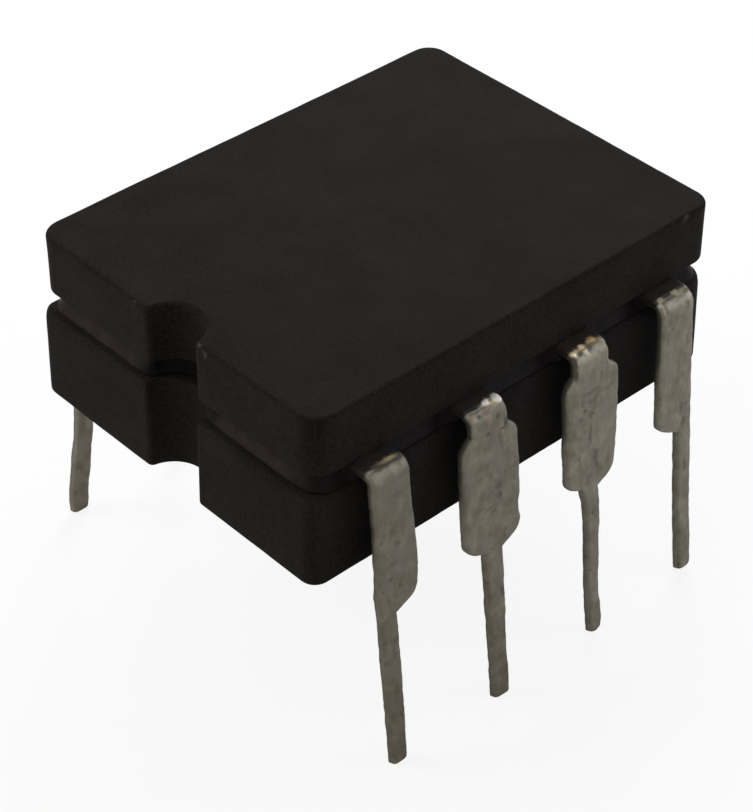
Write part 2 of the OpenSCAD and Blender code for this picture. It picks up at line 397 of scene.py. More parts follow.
@dataclass(frozen=True)
class FiredSkin(Finish):
    """A fired surface: coarse and fine noise mix two colours, and a mask brings in a third.

    The fine noise also sets the gloss. The bump is its strength and its depth in
    millimetres, and comes from the fine noise, or from both where the skin flowed.
    """

    dark: str
    light: str
    bare: str
    mask: str
    coarse: Grain
    fine: Grain
    fine_share: float
    spread: float
    roughness: tuple[float, float]
    bump: tuple[float, float]
    flowed: bool
    specular: float

    def build(self) -> bpy.types.Material:
        """Make the material from the two noises and the mask.

        Returns:
            The material.
        """
        made, tree, where = self.start()
        coarse, fine = (
            add_node(tree, "TexNoise", grain.settings(), {"Vector": where}).outputs["Fac"]
            for grain in (self.coarse, self.fine)
        )
        both = add_node(tree, "Mix", {0: self.fine_share}, {2: coarse, 3: fine}).outputs[0]
        spread = add_node(
            tree, "MapRange", {"From Min": 0.5 - self.spread, "From Max": 0.5 + self.spread},
            {"Value": both},
        )
        colour = add_node(
            tree, "Mix", {"data_type": "RGBA", 6: linear(self.dark), 7: linear(self.light)},
            {0: spread.outputs[0]},
        )
        mask = add_node(tree, "Attribute", {"attribute_name": self.mask})
        colour = self.lay(tree, colour.outputs[2], ((mask.outputs["Fac"], self.bare),))
        low, high = self.roughness
        rough = add_node(
            tree, "MapRange", {"From Min": 0.3, "From Max": 0.7, "To Min": low, "To Max": high},
            {"Value": fine},
        )
        self.join(
            tree, {"Base Color": colour, "Roughness": rough.outputs[0]},
            (both if self.flowed else fine, *self.bump), {"Specular IOR Level": self.specular},
        )
        return made


@dataclass(frozen=True)
class PressedAlumina(FiredSkin):
    """Black alumina, dry-pressed from powder and fired.

    The fired skin is matte, with a grain of about 0.06 mm that only shows as softness,
    and a faint cloudiness a millimetre or so across from the way the powder packed. Where
    a rim is chipped, the paler broken ceramic shows.
    """

    bare: str = "46423d"
    mask: str = "chip"
    coarse: Grain = Grain(1.3, 3.0, 0.6)
    fine: Grain = Grain(0.06, 4.0, 0.7)
    fine_share: float = 0.74
    spread: float = 0.11
    roughness: tuple[float, float] = (0.64, 0.80)
    bump: tuple[float, float] = (0.35, 0.012)
    flowed: bool = False
    specular: float = 0.03


@dataclass(frozen=True)
class FiredSolderGlass(FiredSkin):
    """Devitrified lead glass, melted between the halves in the furnace.

    It is browner and a little lighter than the ceramic, half-matte, with a skin that
    flowed in waves about 0.2 mm across and carries crystals too fine to see one by one.
    In the notch and along both long sides, beside the leads, it carries painted shade that
    makes it about as dark as the ceramic, most of all on the +X side.
    """

    # The third colour and its mask are painted shade on the glass, in the notch and beside the
    # leads.
    bare: str = "0f0d0c"
    mask: str = "drawn"
    coarse: Grain = Grain(0.22, 3.0, 0.55)
    fine: Grain = Grain(0.05)
    fine_share: float = 0.4
    spread: float = 0.15
    roughness: tuple[float, float] = (0.46, 0.66)
    bump: tuple[float, float] = (0.6, 0.02)
    flowed: bool = True
    specular: float = 0.05


@dataclass(frozen=True)
class DippedTin(Finish):
    """Tin on iron-nickel sheet, put on by dipping the formed leads and then left to dull.

    The coat is a soft olive grey with faint streaks down the lead and small dark and rusty
    stains where it is thin. Painted shade darkens one half of each cut edge's rounding. On the
    outside of the bend the tin pooled, and there a brighter colour is laid on as a painted
    highlight. A share of painted shade, set lead by lead, darkens the whole coat, with random
    duller patches, and the legs are darker.
    """

    coat: str = "878272"
    dull: str = "666153"
    mauve: str = "777168"
    # Colour of the per-lead painted shade and of the duller patches.
    dull_and_shade_colour: str = "4d483d"
    # Colour of the painted shade on one half of each cut edge's rounding.
    edge: str = "5a564b"
    speck: str = "3a362d"
    # Colour of the pooled tin on the bend, bright enough to act as a painted highlight.
    pooled_and_highlight: str = "cfc8ae"
    streak: Grain = Grain(0.12, 4.0, 0.6)
    cloud: Grain = Grain(0.45, 3.0)
    spot: Grain = Grain(0.16)
    blush: Grain = Grain(0.28, 3.0)

    def build(self) -> bpy.types.Material:
        """Make the material from noise and from the lead's own values: painted shade on the cut
        edges and the coat, pooled tin with a painted highlight on the bend, and the marks.

        Returns:
            The material.
        """
        made, tree, where = self.start()
        drawn = add_node(tree, "Mapping", {"Scale": (1.0, 1.0, 0.5)}, {"Vector": where})
        drawn = drawn.outputs[0]
        streaks, clouds, spots, hue = (
            add_node(
                tree, "TexNoise", {**more, **grain.settings()}, {"Vector": place}
            ).outputs["Fac"]
            for grain, place, more in (
                (self.streak, drawn, {}), (self.cloud, where, {}), (self.spot, where, {}),
                (self.blush, drawn, {"noise_dimensions": "4D", "W": 7.0}),
            )
        )
        mixed = add_node(tree, "Mix", {0: 0.5}, {2: streaks, 3: clouds})
        spread, greyer, speckle = (
            add_node(
                tree, "MapRange", {"From Min": low, "From Max": high, "To Max": most},
                {"Value": value},
            ).outputs[0]
            for value, low, high, most in (
                (mixed.outputs[0], 0.38, 0.62, 1.0),
                (hue, 0.45, 0.62, 0.7),
                (spots, 0.67, 0.75, 0.6),
            )
        )
        edge, bend, tint, age = (
            add_node(tree, "Attribute", {"attribute_name": name}).outputs
            for name in ("edge", "bend", "tint", "age")
        )
        last = add_node(
            tree, "Mix", {"data_type": "RGBA", 6: linear(self.dull), 7: linear(self.coat)},
            {0: spread},
        ).outputs[2]
        # Laid in order: mauve tone, painted shade and duller patches, pooled tin with its painted
        # highlight, painted shade on the cut edges, and dark specks.
        last = self.lay(tree, last, (
            (greyer, self.mauve), (age["Fac"], self.dull_and_shade_colour), (bend["Fac"], self.pooled_and_highlight),
            (edge["Fac"], self.edge), (speckle, self.speck),
        ))
        last = add_node(
            tree, "Mix", {"data_type": "RGBA"}, {0: tint["Alpha"], 6: last, 7: tint["Color"]}
        ).outputs[2]
        rough = add_node(
            tree, "MapRange", {"To Min": 0.52, "To Max": 0.24}, {"Value": bend["Fac"]}
        )
        bare = add_node(
            tree, "MapRange", {"To Min": 0.85, "To Max": 0.1}, {"Value": tint["Alpha"]}
        )
        self.join(
            tree,
            {"Base Color": last, "Roughness": rough.outputs[0], "Metallic": bare.outputs[0]},
            (streaks, 0.35, 0.012),
        )
        return made


@dataclass(frozen=True)
class SealedMetal(Finish):
    """A polished or drawn surface of the pieces sealed inside, with faint marks of its making."""

    colour: str
    worn: str
    roughness: float
    metallic: float
    mark: Grain = Grain(0.03, 3.0)

    def build(self) -> bpy.types.Material:
        """Make the material: fine marks mix the two colours and lift the surface a little.

        Returns:
            The material.
        """
        made, tree, where = self.start()
        marks = add_node(tree, "TexNoise", self.mark.settings(), {"Vector": where})
        marks = marks.outputs["Fac"]
        colour = add_node(
            tree, "Mix", {"data_type": "RGBA", 6: linear(self.colour), 7: linear(self.worn)},
            {0: marks},
        )
        self.join(
            tree, {"Base Color": colour.outputs[2]}, (marks, 0.2, 0.003),
            {"Roughness": self.roughness, "Metallic": self.metallic},
        )
        return made


# The ceramic halves and the glass


@dataclass(frozen=True)
class Plan:
    """Outline of a ceramic half seen from above: round corners, and a notch at the -Y end.

    The far corners have their own radius, or the near ones' if it is 0.
    """

    width: float
    length: float
    corner: float
    notch: float
    notch_out: float = 0.0
    lip: float = 0.12
    far_corner: float = 0.0
    notch_at: float = 0.0

    def ring(self) -> np.ndarray:
        """Points of the outline, anticlockwise, from the middle of the -X -Y corner.

        Ends and long sides have their own numbers of points, and the two sides of every
        corner share its middle. An outline with a notch of 0 has none.

        Returns:
            One line of x and y a point.
        """
        w, h, r = self.width / 2, self.length / 2, self.corner
        q = self.far_corner or r
        near = [arc((-w + r, -h + r), r, 225, 270)]
        if self.notch > 0:
            n, p, out, at = self.notch, self.lip, self.notch_out, self.notch_at
            x = math.sqrt((n + p) ** 2 - (p + out) ** 2)
            start = math.degrees(math.atan2(p + out, x))
            near += [
                arc((at - x, -h + p), p, 270, 360 - start),
                arc((at, -h - out), n, 180 - start, start),
                arc((at + x, -h + p), p, 180 + start, 270),
            ]
        near += [arc((w - r, -h + r), r, 270, 315)]
        right = [arc((w - r, -h + r), r, 315, 360), arc((w - q, h - q), q, 0, 45)]
        far = [arc((w - q, h - q), q, 45, 90), arc((-w + q, h - q), q, 90, 135)]
        left = [arc((-w + q, h - q), q, 135, 180), arc((-w + r, -h + r), r, 180, 225)]
        sides = []
        for parts, count in (
            (near, END_POINTS), (right, SIDE_POINTS), (far, END_POINTS), (left, SIDE_POINTS)
        ):
            line = np.concatenate(parts)
            dense = np.ones(len(line))
            dense[:ARC_POINTS] = dense[-ARC_POINTS:] = 2.0
            if len(parts) > 2:
                dense[ARC_POINTS:-ARC_POINTS] = 3.0
            keep = np.concatenate([[True], np.linalg.norm(np.diff(line, axis=0), axis=1) > 1e-9])
            sides.append(resample(line[keep], dense[keep], count)[:-1])
        return np.concatenate(sides)

    def outward(self, ring: np.ndarray) -> np.ndarray:
        """Outward directions of a ring: its tangent turned by a quarter, then averaged.

        Args:
            ring: The outline's points, anticlockwise.

        Returns:
            One direction of length 1 a point.
        """
        tangent = np.roll(ring, -1, axis=0) - np.roll(ring, 1, axis=0)
        turned = np.stack([tangent[:, 1], -tangent[:, 0]], axis=1)
        turned /= np.linalg.norm(turned, axis=1)[:, None]
        for _ in range(3):
            turned = np.roll(turned, 1, axis=0) + turned + np.roll(turned, -1, axis=0)
            turned /= np.linalg.norm(turned, axis=1)[:, None]
        return turned

    def walls(self, edge: np.ndarray) -> np.ndarray:
        """Carry an edge profile round the outline.

        Args:
            edge: Pairs of distance out from the outline and height.

        Returns:
            Points by profile row and then round the outline.
        """
        ring = self.ring()
        out = self.outward(ring)
        plan = ring[None] + out[None] * edge[:, None, :1]
        height = np.broadcast_to(edge[:, None, 1:], plan.shape[:2] + (1,))
        return np.concatenate([plan, height], axis=2)

    def cap(self, ring: np.ndarray) -> np.ndarray:
        """Fill a ring with a four-sided patch.

        Each point is the blend of the two ends plus the blend of the two long sides, less
        the blend of the four corners.

        Args:
            ring: Points round the outline, as ring() orders them, three columns.

        Returns:
            Points by row from the -Y end to the +Y end, and then along X.
        """
        e, s = END_POINTS, SIDE_POINTS
        near = ring[:e]
        right = ring[e - 1 : e + s - 1]
        far = ring[e + s - 2 : 2 * e + s - 2][::-1]
        left = np.concatenate([ring[2 * e + s - 3 :], ring[:1]])[::-1]
        u = np.linspace(0, 1, e)[None, :, None]
        v = np.linspace(0, 1, s)[:, None, None]
        ends = (1 - v) * near[None] + v * far[None]
        sides = (1 - u) * left[:, None] + u * right[:, None]
        low = (1 - u) * near[0] + u * near[-1]
        high = (1 - u) * far[0] + u * far[-1]
        return ends + sides - (1 - v) * low - v * high


@dataclass
class Shell:
    """Collects grids of points and their faces into one closed piece."""

    points: list[np.ndarray] = field(default_factory=list)
    faces: list[list[int]] = field(default_factory=list)
    count: int = 0

    def add(self, grid: np.ndarray, closed: bool, rows_closed: bool = False) -> None:
        """Add a grid of points.

        Args:
            grid: Points by row and column.
            closed: Whether each row closes on itself.
            rows_closed: Whether the last row joins the first.
        """
        if rows_closed:
            grid = np.concatenate([grid, grid[:1]])
        rows, columns = grid.shape[:2]
        self.points.append(grid.reshape(-1, 3))
        self.faces += (grid_faces(rows, columns, closed) + self.count).tolist()
        self.count += rows * columns

    def build(self, name: str) -> bpy.types.Object:
        """Make the object from all that was added."""
        return build_mesh(name, np.concatenate(self.points), self.faces)


def hand_over(
    piece: bpy.types.Object, finish: bpy.types.Material, node: str
) -> None:
    """Give a piece its material and its body, and hide the frame's node that it stands for.

    Args:
        piece: The finished piece.
        finish: Its material.
        node: The frame's node that it replaces.
    """
    piece.data.materials.append(finish)
    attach(piece, "root")
    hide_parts(node)
    LOG.info("%s: %d faces", piece.name, len(piece.data.polygons))


class Hollow(Enum):
    """Which face of a ceramic half the sealed space is cut into."""

    TOP = 1
    UNDERSIDE = -1


@dataclass(frozen=True)
class CeramicHalf:
    """One pressed half of the package, with the sealed space in its inner face."""

    name: str
    node: str
    slot: str
    plan: Plan
    low: float
    high: float
    edge: Steps
    hollow: Hollow
    hollow_width: float
    hollow_length: float
    hollow_depth: float
    relief: Relief
    shift: tuple[float, float] = (0.0, 0.0)
    chips: tuple[Dent, ...] = ()

    def build(self, finish: bpy.types.Material) -> None:
        """Build the half: its walls, its plain face, its inner face and the sealed space.

        Args:
            finish: The material of the fired ceramic.
        """
        shell = Shell()
        walls = self.plan.walls(np.array(self.edge))
        shell.add(walls, closed=True)
        space = Plan(self.hollow_width, self.hollow_length, SPACE_CORNER, 0.0)
        inner = space.ring()
        if self.hollow is Hollow.TOP:
            plain, open_row, level = walls[0], walls[-1], self.high
            floor = level - self.hollow_depth
        else:
            plain, open_row, level = walls[-1], walls[0], self.low
            floor = level + self.hollow_depth
        mouth = raised(inner, level)
        bottom = raised(inner, floor)
        half_way = (open_row + mouth) / 2
        shell.add(np.stack([open_row, half_way, mouth, bottom]), closed=True)
        shell.add(self.plan.cap(plain), closed=False)
        shell.add(space.cap(bottom), closed=False)
        shell.points = [grid + np.array([*self.shift, 0.0]) for grid in shell.points]
        piece = shell.build(self.name)
        self.relief.apply(piece)
        points = read_points(piece.data, "co") / MM
        broken = np.zeros(len(points))
        for chip in self.chips:
            away = np.linalg.norm(points - np.array(chip.at), axis=1) / chip.radius
            away *= 1 + 0.5 * lattice_noise(points, chip.radius, 77)
            broken = np.maximum(broken, smooth_step(1.5 - away))
        set_values(piece.data, "chip", broken)
        hand_over(piece, finish, self.node)


@dataclass(frozen=True)
class GlassSeam:
    """The glass between the halves: it lies back at the rim and creeps out at each lead.

    The plan is the rim where it lies furthest back. Each line of the section is a share of
    the height, then how far out the glass stands there between leads and at a lead.
    """

    plan: Plan
    low: float = 6.08
    high: float = 6.50
    cavity_width: float = 2.60
    cavity_length: float = 4.00
    wetted: Steps = ((0.80, 1.74), (3.14, 3.98))
    soft: float = 0.16
    section: tuple[tuple[float, float, float], ...] = (
        (0.00, 0.13, 0.16), (0.04, 0.165, 0.20), (0.10, 0.160, 0.22), (0.20, 0.130, 0.235),
        (0.34, 0.085, 0.24), (0.50, 0.040, 0.24), (0.66, 0.010, 0.23), (0.80, 0.0, 0.21),
        (0.90, 0.0, 0.18), (1.00, 0.02, 0.15),
    )

    def build(self, finish: bpy.types.Material) -> None:
        """Build the glass as a closed band between the rim and the sealed space.

        The rim's section is plain between the leads and wetted at them, and the two are
        blended by how near a point is to a lead.

        Args:
            finish: The material of the glass.
        """
        ring = self.plan.ring()
        out = self.plan.outward(ring)
        height, plain, wet = np.array(self.section).T
        along = np.abs(ring[:, 1])
        near = np.zeros(len(ring))
        for start, end in self.wetted:
            near += smooth_step((along - start) / self.soft + 0.5) * smooth_step(
                (end - along) / self.soft + 0.5
            )
        near *= np.abs(out[:, 0]) > 0.9
        ragged = 1 + 0.3 * lattice_noise(raised(ring, 0.0), 0.22, 5)
        offset = plain[:, None] + near[None] * ragged[None] * (wet - plain)[:, None]
        rim = ring[None] + out[None] * offset[..., None]
        z = np.broadcast_to(
            (self.low + height * (self.high - self.low))[:, None, None], rim.shape[:2] + (1,)
        )
        rim = np.concatenate([rim, z], axis=2)
        inner = Plan(self.cavity_width, self.cavity_length, SPACE_CORNER, 0.0).ring()
        top = raised(inner, self.high)
        bottom = raised(inner, self.low)
        section = np.concatenate([rim, (rim[-1:] + top) / 2, top[None], bottom[None]])
        shell = Shell()
        shell.add(section, closed=True, rows_closed=True)
        piece = shell.build("glass_seam")
        points = read_points(piece.data, "co") / MM
        level = (points[:, 2] - self.low) / (self.high - self.low)
        share = smooth_step(level * 6) * smooth_step((1 - level) * 6)
        Relief(FLOWED, seed=11).apply(piece, share)
        # Painted shade: the glass is darkened in the notch, on the +X side and along the -X side.
        notch = smooth_step((1.25 - np.abs(points[:, 0])) / 0.3) * (points[:, 1] < -3.0)
        right = 0.8 * smooth_step((points[:, 0] - 2.6) / 0.8)
        left = 0.5 * smooth_step((-points[:, 0] - 3.45) / 0.1)
        set_values(piece.data, "drawn", np.maximum(notch, np.maximum(right, left)))
        hand_over(piece, finish, "glass_seal")


# The leads


class Form(Enum):
    """The two blanks that the lead frame is punched into."""

    INNER = "two shoulders and a neck"
    END = "one shoulder, on the inner side"


class Tone(Enum):
    """Colours of the stains and flecks on the tin, and of the painted highlights on the bends, as
    sRGB.
    """

    DARK = "2f2c25"
    GREY = "403b2b"
    BROWN = "4c382a"
    RUST = "41291b"
    PINK = "8c7368"
    # Painted highlights on the brows of the bends.
    GOLD_HIGHLIGHT = "cfb47c"
    CREAM_HIGHLIGHT = "b5aa86"
    WHITE_HIGHLIGHT = "fffdf2"


@dataclass(frozen=True)
class Mark:
    """A stain or fleck on a lead's outer face, or a painted highlight on its bend.

    Its place is the distance along Y from the lead's centre line and the height. Its size
    is the half width and the half height, and its strength is how much it covers.
    """

    tone: Tone
    across: float
    height: float
    wide: float
    tall: float
    strength: float = 0.8


@dataclass(frozen=True)
class LeadFrame:
    """Sizes that all leads share."""

    thickness: float = 0.20
    width: float = 0.36
    drop: float = 3.38
    shoulder: float = 1.33
    corner: float = 0.30
    neck: float = 0.84
    neck_height: float = 0.32
    neck_run: float = 0.13
    splay: float = 4.5
    bend_x: float = 3.98
    bend_z: float = 6.16
    bend_radius: float = 0.10
    tip_cut: float = 0.03
    tip_lean: float = 0.07
    edge_radius: float = 0.07
    root: float = 3.06
    rows: tuple[float, float] = (1.27, 3.81)

    @property
    def outer(self) -> float:
        """Distance of the outer face from the bend's axis."""
        return self.bend_radius + self.thickness

    def face_x(self, z: float) -> float:
        """Distance from the package's middle to the outer face at a height.

        Args:
            z: The height.

        Returns:
            The distance along X, on the bend's arc above the blade and on the blade below.
        """
        lean = math.radians(self.splay)
        if z > self.bend_z + self.outer * math.sin(lean):
            return self.bend_x + math.sqrt(max(self.outer**2 - (z - self.bend_z) ** 2, 0))
        return self.bend_x + (self.outer - (z - self.bend_z) * math.sin(lean)) / math.cos(lean)

    def shouldered(self, z: np.ndarray, necked: bool) -> np.ndarray:
        """Distance from the centre line to an edge with a shoulder, at each height.

        It is the leg's half width up to the seat, runs out along a short taper, rounds
        the shoulder's corner and, if necked, turns in again below the bend.

        Args:
            z: Heights.
            necked: Whether the edge narrows to a neck.

        Returns:
            Half widths.
        """
        leg, wide = self.width / 2, self.shoulder / 2
        turn = np.radians(np.linspace(-66, 0, 12))
        heights = np.concatenate(
            [[0.0, 1.5 * self.tip_cut, self.drop],
             self.drop + self.corner * (1.4 + np.sin(turn))]
        )
        halves = np.concatenate(
            [[leg - self.tip_cut, leg, leg],
             wide - self.corner + self.corner * np.cos(turn)]
        )
        half = np.interp(z, heights, halves)
        if necked:
            top = self.bend_z - self.neck_run
            level = (z - top + self.neck_height) / self.neck_height
            turned = np.interp(level, [0, 0.28, 0.5, 0.84, 1], [0, 0.1, 0.32, 0.78, 1])
            half = np.where(z > self.drop + 0.64,
                            wide - (wide - self.neck / 2) * turned, half)
        return half

    def straight(self, z: np.ndarray) -> np.ndarray:
        """Distance from the centre line to an edge without a shoulder, at each height."""
        leg = self.width / 2
        return np.interp(z, [0.0, 1.5 * self.tip_cut], [leg - self.tip_cut, leg])


@dataclass(frozen=True)
class Lead:
    """One lead: its finger in the glass, its bend and its leaning blade.

    Its edges stand off the blank's by amounts at some heights, and its blade bows outwards
    and along the row by others. Its share of painted shade darkens its whole coat, more on the
    leads towards the -Y end. Its dark cover is how far into the bend a dark colour reaches
    from the flat finger at the -Y and the +Y edge of the sheet, as a share of the bend.
    """

    number: int
    side: int
    end: int
    form: Form
    marks: tuple[Mark, ...] = ()
    blobs: tuple[tuple[float, float, float, float], ...] = ()
    # How much pooled tin, brightened as a painted highlight, the outside of the bend carries.
    pooled_and_highlight: float = 0.5
    ragged: float = 0.008
    low: Steps = LEVEL
    high: Steps = LEVEL
    bow: Steps = LEVEL
    along: Steps = LEVEL
    age: float = 0.1
    dark_cover: tuple[float, float] = (0.16, 0.16)
    frame: LeadFrame = LeadFrame()

    @property
    def row(self) -> float:
        """Distance along Y from the package's middle to the lead's centre line."""
        return self.frame.rows[0 if self.form is Form.INNER else 1]

    def face_x(self, z: float) -> float:
        """Distance from the package's middle to this lead's outer face at a height."""
        return self.frame.face_x(z) + float(eased(z, self.bow))

    def finger(self) -> tuple[np.ndarray, np.ndarray]:
        """The two edges of the flat finger in plan, from its bonded end to the bend.

        Returns:
            The edge towards the package's middle and the edge away from it.
        """
        f, y = self.frame, self.row
        if self.form is Form.INNER:
            low, high = [[1.40, 0.59], [2.22, 0.59]], [[1.40, 1.01], [2.22, 1.01]]
            sides = (y - f.neck / 2, y + f.neck / 2)
        else:
            low, high = [[0.938, 2.10], [0.938, 2.668]], [[0.518, 2.10], [0.518, 3.004]]
            sides = (y - f.shoulder / 2, y + f.width / 2)
        for line, side in zip((low, high), sides):
            line += [[f.root, side], [f.bend_x, side]]
        share = np.linspace(0, 3, 60)
        return tuple(
            np.stack([np.interp(share, range(4), np.array(line)[:, a]) for a in (0, 1)], 1)
            for line in (low, high)
        )

    def edges(self) -> tuple[np.ndarray, np.ndarray, np.ndarray, np.ndarray]:
        """The lead's two edges in the middle of the sheet, from the finger to the tip.

        The finger is flat. The bend turns about its axis from straight up to the splay
        angle. The blade runs on from there along the sheet.

        Returns:
            Inner edge, outer edge, the sheet's outward normals, and how far into the
            bend each row is, from 0 before it to 1 after it.
        """
        f = self.frame
        low, high = self.finger()
        middle = f.bend_radius + f.thickness / 2
        flat = np.full((len(low), 1), f.bend_z + middle)
        turn = np.radians(np.linspace(90, f.splay, 26))[1:]
        normal = np.stack([np.cos(turn), np.zeros(len(turn)), np.sin(turn)], axis=1)
        bend = np.array([f.bend_x, 0, f.bend_z]) + middle * normal
        lean = math.radians(f.splay)
        starts = (f.bend_z, *(stop for stop, _ in BLADE_ROWS))
        heights = np.concatenate([
            np.linspace(start, stop, count)[1:]
            for start, (stop, count) in zip(starts, BLADE_ROWS)
        ])
        run = f.bend_z + f.outer * math.sin(lean) - heights
        run = np.maximum(run / math.cos(lean), 0.004)
        down = np.array([math.sin(lean), 0, -math.cos(lean)])
        blade = bend[-1] + run[:, None] * down
        top = np.full(len(turn), f.bend_z)
        z = np.concatenate([top, heights])
        necked = self.form is Form.INNER
        inner = f.shouldered(z, necked)
        outer = f.shouldered(z, True) if necked else f.straight(z)
        spots = np.column_stack([np.zeros((len(z), 2)), z])
        worn = [self.ragged * (lattice_noise(spots, 0.2, 70 + 2 * self.number + k)
                               + 0.5 * lattice_noise(spots, 0.08, 90 + 2 * self.number + k))
                for k in (0, 1)]
        inner = inner + eased(z, self.low) + worn[0]
        outer = outer + eased(z, self.high) + worn[1]
        path = np.concatenate([bend, blade])
        path[:, 0] += eased(z, self.bow)
        path[:, 1] += self.end * eased(z, self.along)
        bonded = smooth_step((low[:, 0] - 2.6) / 0.4)
        aside = self.end * float(eased(6.3, self.along)) * bonded
        low[:, 1] += aside
        high[:, 1] += aside
        across = np.array([0.0, 1.0, 0.0])
        low_line = path + across * (self.row - inner)[:, None]
        high_line = path + across * (self.row + outer)[:, None]
        normals = np.concatenate(
            [np.tile([0.0, 0.0, 1.0], (len(low), 1)), normal,
             np.tile([math.cos(lean), 0.0, math.sin(lean)], (len(heights), 1))]
        )
        bent = np.concatenate(
            [np.zeros(len(low)), np.linspace(0, 1, len(turn)), np.ones(len(heights))]
        )
        return (
            np.concatenate([np.hstack([low, flat]), low_line]),
            np.concatenate([np.hstack([high, flat]), high_line]),
            normals,
            bent,
        )

    def section(self) -> tuple[np.ndarray, np.ndarray, np.ndarray, np.ndarray]:
        """A rectangle with round corners, as the sheet is across its width.

        Returns:
            For each point: a fixed distance along the width, the share of the width that
            is added to it, the distance along the normal, and 1 on the cut edges.
        """
        r, half = self.frame.edge_radius, self.frame.thickness / 2
        turns = []
        for share, lift, start, between in ((1, 1, 90, 2), (1, -1, 0, 36),
                                            (0, -1, -90, 2), (0, 1, -180, 36)):
            turn = np.radians(start - np.linspace(0, 90, 7))
            turns.append((np.column_stack([
                (1 - 2 * share) * r + r * np.cos(turn),
                np.full(7, float(share)),
                lift * (half - r) + r * np.sin(turn),
                np.abs(np.cos(turn)),
            ]), between))
        parts = []
        for (turn, between), (following, _) in zip(turns, turns[1:] + turns[:1]):
            parts += [turn, np.linspace(turn[-1], following[0], between + 2)[1:-1]]
        return tuple(np.concatenate(parts).T)

    def build(self, finish: bpy.types.Material) -> None:
        """Build the lead by carrying the section along between its two edges.

        Args:
            finish: The material of the tinned sheet.
        """
        low, high, normal, bent = self.edges()
        width = np.linalg.norm(high - low, axis=1)
        unit = (high - low) / width[:, None]
        fixed, share, lift, cut = self.section()
        reach = fixed[None] + share[None] * width[:, None]
        grid = (
            low[:, None] + unit[:, None] * reach[..., None] + normal[:, None] * lift[:, None]
        )
        lean = math.radians(self.frame.splay)
        below = np.minimum(grid[..., 2], 0.0)
        grid[..., 0] += below * math.tan(lean)
        grid[..., 2] -= below
        last = grid[-1]
        last[:, 0] += last[:, 2] * math.tan(lean)
        last[:, 2] = 0.0
        half = self.frame.thickness / 2
        rise = self.frame.tip_lean * (self.side * lift[None] / half + 1) / 2
        rise = rise * np.clip(1 - grid[..., 2] / 0.14, 0, 1)
        grid[..., 2] += rise
        grid[..., 0] -= rise * math.tan(lean)
        rows, columns = grid.shape[:2]
        faces = grid_faces(rows, columns, True).tolist()
        faces.append(list(range(columns)))
        faces.append(list(range(rows * columns - 1, (rows - 1) * columns - 1, -1)))
        grid = grid * np.array([self.side, self.end, 1])
        piece = build_mesh(f"tinned_lead_{self.number}", grid.reshape(-1, 3), faces)
        self.dress(piece, grid, bent, lift, cut)
        hand_over(piece, finish, f"lead_{self.number}")

    def tint(self, points: np.ndarray, outside: np.ndarray, dark_cover: np.ndarray) -> np.ndarray:
        """Lay the dark cover and the marks, stains and painted highlights, over each other as
        colours with a share they cover.

        Args:
            points: The lead's points.
            outside: Whether each of them is on the outer face.
            dark_cover: How much of the dark colour lies on each of them.

        Returns:
            Red, green, blue and share, one line a point.
        """
        y = self.end * self.row
        wobble = 1 + 0.35 * lattice_noise(points, 0.06, 60 + self.number)
        # A dark colour covers the flat finger and reaches into the bend as far as the dark cover
        # says.
        colours = np.tile(np.array(linear("1c1815")), (len(points), 1))
        colours[:, 3] = dark_cover
        for mark in self.marks:
            x = self.side * self.face_x(mark.height)
            drop = np.hypot(points[:, 0] - x, points[:, 2] - mark.height) / mark.tall
            away = np.hypot((points[:, 1] - y - mark.across) / mark.wide, drop) * wobble
            share = mark.strength * smooth_step((1.35 - away) / 0.7) * outside
            rest = colours[:, 3] * (1 - share)
            total = np.maximum(rest + share, 1e-9)[:, None]
            tone = np.array(linear(mark.tone.value)[:3])
            colours[:, :3] = (colours[:, :3] * rest[:, None] + tone * share[:, None]) / total
            colours[:, 3] = rest + share
        return colours

    def dress(self, piece: bpy.types.Object, grid: np.ndarray, bent: np.ndarray,
              lift: np.ndarray, cut: np.ndarray) -> None:
        """Roughen the tin and store the painted shade, the pooled tin and its painted highlight,
        the dark cover and the marks that its material reads.

        Args:
            piece: The lead.
            grid: Its points by row and column.
            bent: How far into the bend each row is.
            lift: Distance of each column from the sheet's middle, outwards.
            cut: 1 for the columns on the cut edges.
        """
        rows, columns = grid.shape[:2]
        points = grid.reshape(-1, 3)
        bell = np.exp(-(((bent - 0.25) / 0.3) ** 2)) * (bent > 0) * (bent < 1)
        ragged = lattice_noise(points, 0.12, 40 + self.number).reshape(rows, columns)
        # Pooled tin on the outside of the bend, laid over with a painted highlight colour.
        pool_and_highlight = smooth_step(bell[:, None] * 1.4 + ragged * 0.9 - 0.7) * self.pooled_and_highlight
        outside = np.broadcast_to(lift > 0.05, (rows, columns)).ravel()
        mesh = piece.data
        # Painted shade on one half of each cut edge's rounding, where the sheet's side lies in
        # shade.
        cut = cut * smooth_step(0.4 - 10 * self.side * lift)
        set_values(mesh, "edge", np.broadcast_to(cut, (rows, columns)).ravel())
        set_values(mesh, "bend", pool_and_highlight.ravel())
        half = self.frame.shoulder / 2
        # How far the dark colour reaches into the bend, edge by edge, with a ragged front.
        dark_cover = np.interp(points[:, 1] - self.end * self.row, (-half, half), self.dark_cover)
        cover_margin = dark_cover.reshape(rows, columns) + 0.07 * ragged - bent[:, None]
        dark_cover = smooth_step(cover_margin / 0.07 + 0.5).ravel()
        set_values(mesh, "tint", self.tint(points, outside, dark_cover))
